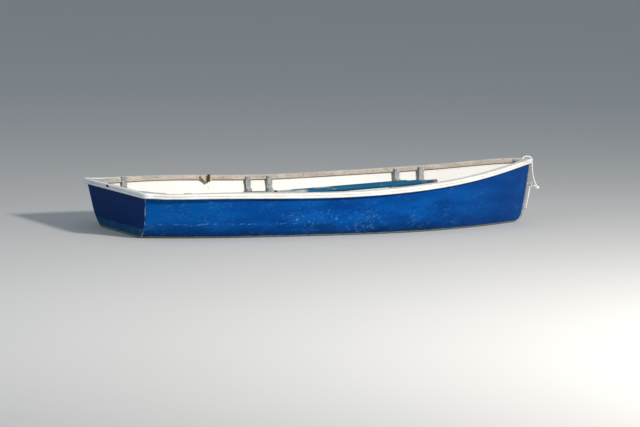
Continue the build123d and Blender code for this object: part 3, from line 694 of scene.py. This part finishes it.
def slim_inwale(piece):
    """Planes the inwale's lower edge back, which the source leaves a little deep."""
    shape = bmesh.new()
    shape.from_mesh(piece.data)
    shape.normal_update()
    mark_depth(shape, "depth")
    depth = shape.verts.layers.float["depth"]
    for vertex in shape.verts:
        if vertex[depth] > PLANED_BELOW:
            vertex.co.z += PLANED_OFF
    shape.to_mesh(piece.data)
    shape.free()


def cut_edges(shape, place, way, drop_behind=False):
    """Cuts a bmesh by a plane and returns the edges made along it."""
    geometry = shape.verts[:] + shape.edges[:] + shape.faces[:]
    cut = bmesh.ops.bisect_plane(
        shape, geom=geometry, plane_co=place, plane_no=way, clear_inner=drop_behind
    )
    return [edge for edge in cut["geom_cut"] if isinstance(edge, bmesh.types.BMEdge)]


def sawn_across(piece, x):
    """Takes off what lies abaft a plane across the boat and closes the end."""
    shape = bmesh.new()
    shape.from_mesh(piece.data)
    rim = cut_edges(shape, (x, 0, 0), (1, 0, 0), drop_behind=True)
    bmesh.ops.holes_fill(shape, edges=rim)
    shape.to_mesh(piece.data)
    shape.free()


def screw_starts(inwale):
    """Points abreast of the middle of an inwale's inboard face."""
    near = KDTree(len(inwale.data.vertices))
    for vertex in inwale.data.vertices:
        near.insert((vertex.co.x, 0, 0), vertex.index)
    near.balance()
    starts = []
    for x in PLUG_PLACES:
        close = [inwale.data.vertices[found[1]].co.z for found in near.find_n((x, 0, 0), 12)]
        starts.append((x, 0.0, (max(close) + min(close)) / 2 + 0.003))
    return starts


hardwood = ((0.54, 0.47, 0.395), (0.41, 0.345, 0.28))
gunwale_wood = bare_wood("gunwale_wood", *hardwood)
pale_top = bare_wood("gunwale_top", (0.70, 0.69, 0.65), (0.56, 0.54, 0.50))
cross_wood = bare_wood("rail_wood", *hardwood, "y")
cross_top = bare_wood("rail_top", (0.66, 0.62, 0.57), (0.52, 0.48, 0.43), "y")
# A pale wood for the breasthook's aft face: painted light, so that in shade it reads tan
painted_light_end = bare_wood("painted_light_end", (0.95, 0.84, 0.74), (0.86, 0.75, 0.65), "y")
plug_wood = bare_wood("plug_wood", (0.15, 0.11, 0.085), (0.08, 0.06, 0.05))
for side, way in (("port", 1), ("starboard", -1)):
    node = "inwale_" + side
    inwale = finished_copy(node + "_wood", node, "gunwale_wood", gunwale_wood, TIMBER_EDGE)
    slim_inwale(inwale)
    other_wood(inwale, pale_top, (0, 0, 1), 0.8)
    name = "inwale_screws_" + side
    starts = screw_starts(inwale)
    studs(name, inwale, starts, (0, way, 0), PLUG, plug_wood, "gunwale_wood", 0.3)
for name in ("transom_rail", "breasthook", "quarter_knee_port", "quarter_knee_starboard"):
    timber = finished_copy(name + "_wood", name, "gunwale_wood", cross_wood, TIMBER_EDGE)
    if name == "breasthook":
        sawn_across(timber, BREASTHOOK_END)
    other_wood(timber, cross_top, (0, 0, 1), 0.8)
    if name == "breasthook":
        other_wood(timber, painted_light_end, (-1, 0, 0), 0.5)

# Seats
# Three planks on bearers. Standing knees, grey with weather, tie each end of a
# seat to the side and the inwale. They are slimmer here than in the source, and
# their heads end under the sheer.

SEAT_SCREW_INSET = 0.07
SEAT_SCREW = (0.0045, 0.0010)
KNEE_BOLT = (0.0048, 0.0014)
KNEE_SLIMMING = 0.78
KNEE_HEAD = 0.006
KNEE_HEAD_ROOM = 0.009
KNEE_BOLTS = ((-0.010, 0.022), (0.010, 0.038), (0.0, 0.075))

seat_wood = bare_wood("seat_wood", (0.42, 0.38, 0.32), (0.27, 0.24, 0.20), "y")
knee_wood = bare_wood("knee_wood", (0.42, 0.425, 0.415), (0.27, 0.27, 0.26), "z", 8.0)
bearer_paint = interior_white()
bolt_metal = worn_metal("bolt_metal", (0.20, 0.19, 0.18), (0.10, 0.085, 0.07), 0.5)
for name in ("stern_seat", "middle_thwart", "forward_thwart"):
    plank = finished_copy(name + "_plank", name, "seat_wood", seat_wood, TIMBER_EDGE)
    low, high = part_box(name)
    ends = [side * (high[1] - inset) for side in (1, -1) for inset in (0.05, 0.09)]
    rows = [low[0] + SEAT_SCREW_INSET, high[0] - SEAT_SCREW_INSET]
    starts = [(x, y, 1.0) for x in rows for y in ends]
    studs(name + "_screws", plank, starts, (0, 0, -1), SEAT_SCREW, bolt_metal, "seat_wood")
for node in sorted(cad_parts):
    if "_knee" in node and not node.startswith("quarter"):
        knee = finished_copy(node + "_wood", node, "knee_wood", knee_wood, 0.0025)
        low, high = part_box(node)
        side = 1 if node.endswith("port") else -1
        middle = (low[0] + high[0]) / 2
        for vertex in knee.data.vertices:
            vertex.co.x = middle + (vertex.co.x - middle) * KNEE_SLIMMING
            if vertex.co.z > high[2] - KNEE_HEAD:
                vertex.co.z -= KNEE_HEAD_ROOM
        starts = [(middle + along, 0.0, high[2] - down) for along, down in KNEE_BOLTS]
        studs(node + "_bolts", knee, starts, (0, side, 0), KNEE_BOLT, bolt_metal, "knee_wood")
    if "_bearer" in node or node == "thwart_post":
        finished_copy(node + "_painted", node, "interior_paint", bearer_paint, 0.0015)

# Bottom boards
# Slats nailed to three floors, painted pale grey and worn by feet.

NAIL = (0.0035, 0.0008)
NAIL_SPREAD = 0.025


def board_paint():
    """Grey deck paint, worn through to the wood."""
    paint = Finish("board_grey", roughness=0.7)
    wear = paint.noise(5.0, 5.0)
    place = paint.vector(paint.x / 14.0, paint.y, paint.z)
    grain = paint.noise(170.0, 3.0, place)
    colour = paint.mix(wear.above(0.52, 0.1), (0.42, 0.43, 0.41), (0.30, 0.25, 0.19))
    colour = paint.mix(grain.above(0.6, 0.1) * 0.4, colour, (0.16, 0.14, 0.11))
    return paint.finish(colour, 0.7, grain, 0.0008)


board_finish = board_paint()
floors = [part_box("floor_" + str(number)) for number in (1, 2, 3)]
for node in sorted(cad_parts):
    if node.startswith(("floor_", "bottom_board")):
        board = finished_copy(node + "_painted", node, "board_paint", board_finish, 0.0015)
    if node.startswith("bottom_board"):
        low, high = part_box(node)
        middle = (low[1] + high[1]) / 2
        starts = [
            ((first[0] + last[0]) / 2, middle + off, 1.0)
            for first, last in floors for off in (-NAIL_SPREAD, NAIL_SPREAD)
        ]
        studs(node + "_nails", board, starts, (0, 0, -1), NAIL, bolt_metal, "board_paint")

# Rowlock pads and sockets
# A hardwood pad on the inwale's inboard face, with a bronze socket screwed to it
# on each side. The barrel shows its metal; the plate still has the pad's buff coat.

BARREL_TOP = 0.012
BARREL_HALF = 0.0112
SOCKET_SCREW = (0.0028, 0.0010)
SOCKET_SCREW_DROP = 0.022
SOCKET_SCREW_SPREAD = 0.0155

pad_wood = bare_wood("pad_wood", (0.62, 0.51, 0.36), (0.47, 0.37, 0.25))
bronze = worn_metal("socket_bronze", (0.16, 0.12, 0.085), (0.085, 0.07, 0.05), 0.5)
for side, way in (("port", 1), ("starboard", -1)):
    finished_copy("pad_" + side, "rowlock_pad_" + side, "pad_wood", pad_wood, TIMBER_EDGE)
    node = "rowlock_socket_" + side
    socket = finished_copy("socket_" + side, node, "bronze", bronze, 0.0006)
    low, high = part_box(node)
    middle = (low[0] + high[0]) / 2
    socket.data.materials.append(pad_wood)
    for face in socket.data.polygons:
        off_barrel = abs(face.center.x - middle) > BARREL_HALF
        if off_barrel and face.center.z < high[2] - BARREL_TOP:
            face.material_index = 1
    level = high[2] - SOCKET_SCREW_DROP
    starts = [(middle + off, 0.0, level) for off in (-SOCKET_SCREW_SPREAD, SOCKET_SCREW_SPREAD)]
    studs(node + "_screws", socket, starts, (0, way, 0), SOCKET_SCREW, bolt_metal, "bronze")

# Oars
# Two wooden oars lying side by side on the thwarts, painted blue. The paint is
# worn off the grips' ends, chipped where the rowlocks worked and scoured to grey
# wood further along the loom.


def oar_finish(name, tip):
    """Blue paint and its wear, placed by the distance from the grip's end."""
    paint = Finish(name, roughness=0.5, Specular_IOR_Level=0.08)
    place = paint.vector(paint.x / 8.0, paint.y, paint.z)
    grain = paint.noise(260.0, 3.0, place)
    shade = paint.noise(7.0, 4.0, place)
    blue = paint.mix(shade.above(0.5, 0.14), (0.005, 0.070, 0.145), (0.013, 0.115, 0.225))
    bare = paint.mix(grain, (0.14, 0.08, 0.045), (0.28, 0.18, 0.11))
    behind = tip - paint.x
    rubbed = paint.noise(30.0, 5.0, place, 0.6)
    leather = behind.near(0.86, 0.16)
    loss = (rubbed + leather * 0.08 + behind.below(0.15, 0.03) * 0.10).above(0.66, 0.03)
    colour = paint.mix(loss, blue, (0.30, 0.37, 0.40))
    weathered = paint.mix(grain.above(0.5, 0.1), (0.22, 0.23, 0.21), (0.52, 0.54, 0.50))
    scoured = (behind.near(1.28, 0.28) + rubbed * 0.35).above(0.60, 0.12)
    colour = paint.mix(scoured * 0.9, colour, weathered)
    colour = paint.mix(behind.below(0.13, 0.03) * rubbed.above(0.52, 0.04), colour, bare)
    colour = paint.mix(behind.below(0.034, 0.006), colour, bare)
    return paint.finish(colour, loss * 0.25 + 0.4, grain * 0.3 - loss, 0.0004)


for name in ("oar_1", "oar_2"):
    paint = oar_finish(name + "_paint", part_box(name)[1][0])
    finished_copy(name + "_painted", name, "oar_paint", paint)

# Bow eye and ring
# Galvanised: an eye bolt through the stem with a ring hanging in it.

zinc = worn_metal("zinc", (0.62, 0.62, 0.60), (0.42, 0.40, 0.36), 0.4)
finished_copy("eye_bolt", "bow_eye", "bow_metal", zinc)
finished_copy("mooring_ring", "bow_ring", "bow_metal", zinc)

# Line over the bow
# Three-strand rope, bleached by the sun. A stopper knot holds it under the
# breasthook; it comes up through its hole, over the guard and down to a loop and
# knot on the mooring ring. A short end is hitched to the ring and hangs free.

ROPE = 0.011
ROPE_PITCH = 0.034
STRAND_SIDES = 9
RING_RADIUS = 0.018
LOOP_RADIUS = 0.0096
KNOT_RADIUS = 0.015
LOOP_ANGLE = math.radians(-25.0)
HITCH_ANGLE = math.radians(-150.0)
line_route = (
    (1.670, 0.000, 0.466),
    (1.673, 0.000, 0.484),
    (1.684, -0.001, 0.499),
    (1.704, 0.000, 0.508),
    (1.732, 0.001, 0.508),
    (1.753, 0.002, 0.5015),
    (1.765, 0.003, 0.486),
    (1.767, 0.003, 0.460),
    (1.769, 0.003, 0.430),
    (1.772, 0.003, 0.398),
    (1.777, 0.002, 0.366),
    (1.785, 0.001, 0.335),
    (1.797, 0.000, 0.305),
    (1.8122, 0.000, 0.2796),
)
tail_route = (
    (1.751, -0.001, 0.2649),
    (1.745, -0.006, 0.238),
    (1.738, -0.010, 0.209),
    (1.731, -0.013, 0.179),
    (1.722, -0.015, 0.150),
    (1.714, -0.017, 0.120),
    (1.709, -0.020, 0.088),
)


def middle_line(route):
    """Points along a cord's middle, read from its NURBS curve."""
    curve = bpy.data.curves.new("route", "CURVE")
    curve.dimensions = "3D"
    curve.resolution_u = 14
    spline = curve.splines.new("NURBS")
    spline.points.add(len(route) - 1)
    for point, place in zip(spline.points, route):
        point.co = (*place, 1.0)
    spline.order_u = 3
    spline.use_endpoint_u = True
    guide = bpy.data.objects.new("route", curve)
    points = [vertex.co.copy() for vertex in bpy.data.meshes.new_from_object(guide).vertices]
    bpy.data.objects.remove(guide)
    return points


def length_of(points):
    return sum((after - before).length for before, after in zip(points, points[1:]))


def laid_rope(shape, points, diameter, strands, closed):
    """Adds a rope's strands to a mesh, laid round a line of points."""
    sides = STRAND_SIDES
    strand = diameter / 2 / (1 + 2 / math.sqrt(3)) if strands > 1 else diameter / 2
    reach = diameter / 2 - strand
    pitch = ROPE_PITCH * diameter / ROPE
    if closed:
        pitch = length_of(points) / max(1, round(length_of(points) / pitch))
    layers = shape.verts.layers.float_vector
    lay = layers.get("lay") or layers.new("lay")
    side = (points[1] - points[0]).orthogonal().normalized()
    travelled = 0.0
    rings = []
    last = len(points) - 1
    for index, point in enumerate(points):
        before = points[index - 1] if index or closed else point
        after = points[(index + 1) % len(points)] if index < last or closed else point
        ahead = (after - before).normalized()
        side = (side - ahead * side.dot(ahead)).normalized()
        up = ahead.cross(side)
        if index:
            travelled += (point - points[index - 1]).length
        ring = []
        for number in range(strands):
            turn = 2 * math.pi * (number / strands + travelled / pitch)
            middle = point + (side * math.cos(turn) + up * math.sin(turn)) * reach
            for corner in range(sides):
                angle = 2 * math.pi * corner / sides + turn * 0.5
                out = side * math.cos(angle) + up * math.sin(angle)
                vertex = shape.verts.new(middle + out * strand)
                vertex[lay] = (travelled, math.cos(angle), math.sin(angle) + number * 5.0)
                ring.append(vertex)
        rings.append(ring)
    pairs = list(zip(rings, rings[1:]))
    if closed:
        pairs.append((rings[-1], rings[0]))
    for first, second in pairs:
        for number in range(strands):
            for corner in range(sides):
                here = number * sides + corner
                there = number * sides + (corner + 1) % sides
                shape.faces.new((first[here], first[there], second[there], second[here]))
    if not closed:
        for ring, flip in ((rings[0], True), (rings[-1], False)):
            for number in range(strands):
                corners = ring[number * sides:(number + 1) * sides]
                shape.faces.new(corners[::-1] if flip else corners)


def rope_fibre(name, pale, dirty):
    """Sun-bleached fibre: yarns run along each strand, with dirt between them."""
    rope = Finish(name, roughness=0.9, Specular_IOR_Level=0.15)
    lay = {0: rope.attribute("lay", "Vector"), 1: (90.0, 3.0, 3.0)}
    fine = rope.node("ShaderNodeVectorMath", {"operation": "MULTIPLY"}, lay)
    yarns = rope.noise(1.0, 2.0, fine)
    dirt = rope.noise(26.0, 5.0)
    colour = rope.mix(yarns.above(0.5, 0.2) * 0.6, pale, dirty)
    colour = rope.mix(dirt.above(0.56, 0.12) * 0.6, colour, tuple(c * 0.62 for c in dirty))
    return rope.finish(colour, 0.9, yarns, 0.0008)


def rope_piece(name, lines, diameter, material, strands=3, closed=False):
    """One piece of rope along one or more lines of points."""
    shape = bmesh.new()
    for points in lines:
        laid_rope(shape, points, diameter, strands, closed)
    bmesh.ops.recalc_face_normals(shape, faces=shape.faces)
    piece = placed(name, mesh_of(name, shape))
    piece.data.materials.append(material)
    smooth(piece, 60.0)
    return piece


def wound_points(centre, axis, radius, turns, pitch=0.0, lean=0.0, count=26):
    """Points of a helix about an axis through a centre, leaning a little."""
    across = axis.orthogonal().normalized()
    other = axis.cross(across).normalized()
    points = []
    for step in range(int(turns * count) + 1):
        turn = 2 * math.pi * step / count
        rise = (step / count - turns / 2) * pitch + lean * math.sin(turn)
        out = across * math.cos(turn) + other * math.sin(turn)
        points.append(centre + out * radius + axis * rise)
    return points


def turn_on_ring(name, angle, fibre):
    """A turn of rope round the ring's wire, at an angle seen from the side."""
    low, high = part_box("bow_ring")
    way = Vector((math.cos(angle), 0, math.sin(angle)))
    middle = (Vector(low) + Vector(high)) / 2 + way * RING_RADIUS
    points = wound_points(middle, Vector((-way.z, 0, way.x)), LOOP_RADIUS, 1, count=40)[:-1]
    return rope_piece(name, [points], ROPE, fibre, closed=True)


def bow_line():
    """The line, its knots and its tail, each seated on the boat in place of its nodes."""
    fibre = rope_fibre("rope_fibre", (0.90, 0.89, 0.84), (0.72, 0.70, 0.64))
    line_points = middle_line(line_route)
    tail_points = middle_line(tail_route)
    line = rope_piece("bow_line", [line_points], ROPE, fibre)
    tail = rope_piece("line_tail", [tail_points], ROPE, fibre)

    # The stopper is nearly two tight turns round the line's end, under the breasthook
    low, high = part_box("rope_stopper")
    middle = (Vector(low) + Vector(high)) / 2
    up = Vector((0, 0, 1))
    turns = wound_points(middle, up, (high[2] - low[2]) / 2 - ROPE / 2, 1.6, ROPE, 0.002)
    core = [middle + up * rise for rise in (-0.0125, -0.004, 0.004, 0.0125)]
    stopper = rope_piece("stopper_knot", [turns, core], ROPE, fibre)

    # The loop goes through the ring; the knot beside it is over two turns and a core
    loop = turn_on_ring("ring_loop", LOOP_ANGLE, fibre)
    low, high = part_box("rope_knot")
    middle = Vector((high[0] - KNOT_RADIUS, 0, low[2] + KNOT_RADIUS))
    ahead = Vector((math.cos(LOOP_ANGLE), 0, math.sin(LOOP_ANGLE)))
    axis = (ahead + Vector((0, 0.35, 0))).normalized()
    turns = wound_points(middle, axis, KNOT_RADIUS - ROPE / 2, 2.4, ROPE * 0.8, 0.0015)
    core = [middle + ahead * reach for reach in (-0.0135, -0.005, 0.005, 0.0135)]
    knot = rope_piece("ring_knot", [turns, core], ROPE, fibre)
    hitch = turn_on_ring("tail_hitch", HITCH_ANGLE, fibre)

    # Twine whipping keeps the tail's strands together
    twine = rope_fibre("whipping_twine", (0.60, 0.55, 0.45), (0.40, 0.35, 0.28))
    end = tail_points[-1]
    along = (tail_points[-8] - end).normalized()
    turns = wound_points(end + along * 0.011, along, ROPE / 2, 9.0, 0.0011)
    whipping = rope_piece("tail_whipping", [turns], 0.0012, twine, strands=1)

    pieces = (
        (line, ["rope_line"]), (tail, ["rope_tail"]), (stopper, ["rope_stopper"]), (loop, []),
        (knot, ["rope_knot"]), (hitch, ["rope_hitch"]), (whipping, []),
    )
    for piece, nodes in pieces:
        seat(piece, "rope_fibre", *nodes)
    length_of(line_points)
    length_of(tail_points)


bow_line()

# Floor, light and camera
# A pale floor at the waterline, open where the boat lies in it. A lamp high up to
# starboard stands for the sun; a weak one and the sky fill the shadows.

AIM = Vector((0, 0, 0.2))
FLOOR_REACH = 150.0
TUCKED_UNDER = Vector((0.9985, 0.994, 0.0))
PICTURE = Vector((640.0, 427.0))
SENSOR_WIDTH = 36.0


def widest_group(edges):
    """Of the groups of edges that hang together, the one that reaches furthest to port."""
    left = dict.fromkeys(edges)
    groups = []
    while left:
        group = [left.popitem()[0]]
        for edge in group:
            for other in edge.verts[0].link_edges[:] + edge.verts[1].link_edges[:]:
                if other in left:
                    del left[other]
                    group.append(other)
        groups.append(group)
    return max(groups, key=lambda group: max(v.co.y for edge in group for v in edge.verts))


def floor_plane():
    """Floor at the waterline, with a hole along the boat's own waterline."""
    cut = bmesh.new()
    cut.from_mesh(hull.data)
    floor = bmesh.new()
    made = {}
    for edge in widest_group(cut_edges(cut, (0, 0, 0), (0, 0, 1))):
        for vertex in edge.verts:
            if vertex not in made:
                made[vertex] = floor.verts.new(vertex.co * TUCKED_UNDER)
        floor.edges.new([made[vertex] for vertex in edge.verts])
    signs = ((-1, -1), (1, -1), (1, 1), (-1, 1))
    corners = [floor.verts.new((x * FLOOR_REACH, y * FLOOR_REACH, 0.0)) for x, y in signs]
    for first, second in zip(corners, corners[1:] + corners[:1]):
        floor.edges.new((first, second))
    bmesh.ops.triangle_fill(floor, use_beauty=True, edges=floor.edges[:], normal=(0, 0, 1))
    cut.free()
    plane = placed("floor", mesh_of("floor", floor))
    pale = Finish("floor_pale", roughness=0.8, Specular_IOR_Level=0.1)
    colour = pale.mix(pale.noise(0.8, 2.0), (0.615, 0.60, 0.57), (0.63, 0.61, 0.58))
    plane.data.materials.append(pale.finish(colour))


def area_light(name, place, size, power, colour):
    """A round lamp aimed at the boat."""
    lamp = bpy.data.lights.new(name, "AREA")
    lamp.shape = "DISK"
    lamp.size = size
    lamp.energy = power
    lamp.color = colour
    light = placed(name, lamp)
    light.location = place
    light.rotation_euler = (AIM - Vector(place)).to_track_quat("-Z", "Y").to_euler()


def camera():
    """Camera fitted to the photograph: angle, distance, lens, roll and aim."""
    azimuth, elevation, roll = (math.radians(a) for a in (-26.90, 5.93, 1.67))
    distance = 24.0
    focal = 3180.2
    shift = (PICTURE / 2 - Vector((328.59, 200.33))) / focal
    back = Vector((
        math.sin(azimuth) * math.cos(elevation),
        -math.cos(azimuth) * math.cos(elevation),
        math.sin(elevation),
    ))
    right = (-back).cross(Vector((0, 0, 1))).normalized()
    up = right.cross(-back)
    tilted_right = right * math.cos(roll) + up * math.sin(roll)
    tilted_up = up * math.cos(roll) - right * math.sin(roll)
    ahead = (-back + tilted_right * shift.x - tilted_up * shift.y).normalized()
    side = (tilted_right - ahead * tilted_right.dot(ahead)).normalized()
    turn = Matrix((side, side.cross(ahead), -ahead)).transposed()
    lens = bpy.data.cameras.new("camera")
    lens.sensor_width = SENSOR_WIDTH
    lens.lens = focal / PICTURE.x * SENSOR_WIDTH
    lens.clip_end = 400.0
    viewer = placed("camera", lens)
    viewer.matrix_world = Matrix.Translation(AIM + back * distance) @ turn.to_4x4()
    bpy.context.scene.camera = viewer


floor_plane()
area_light("key", (2.6, -10.2, 5.6), 1.4, 1480.0, (1.0, 0.97, 0.93))
area_light("fill", (-7.0, -4.0, 5.0), 5.0, 85.0, (0.85, 0.92, 1.0))
world = bpy.data.worlds.new("studio")
world.use_nodes = True
world.node_tree.nodes["Background"].inputs["Color"].default_value = (0.66, 0.78, 0.92, 1)
world.node_tree.nodes["Background"].inputs["Strength"].default_value = 0.4
bpy.context.scene.world = world
bpy.context.scene.view_settings.view_transform = "Standard"
camera()
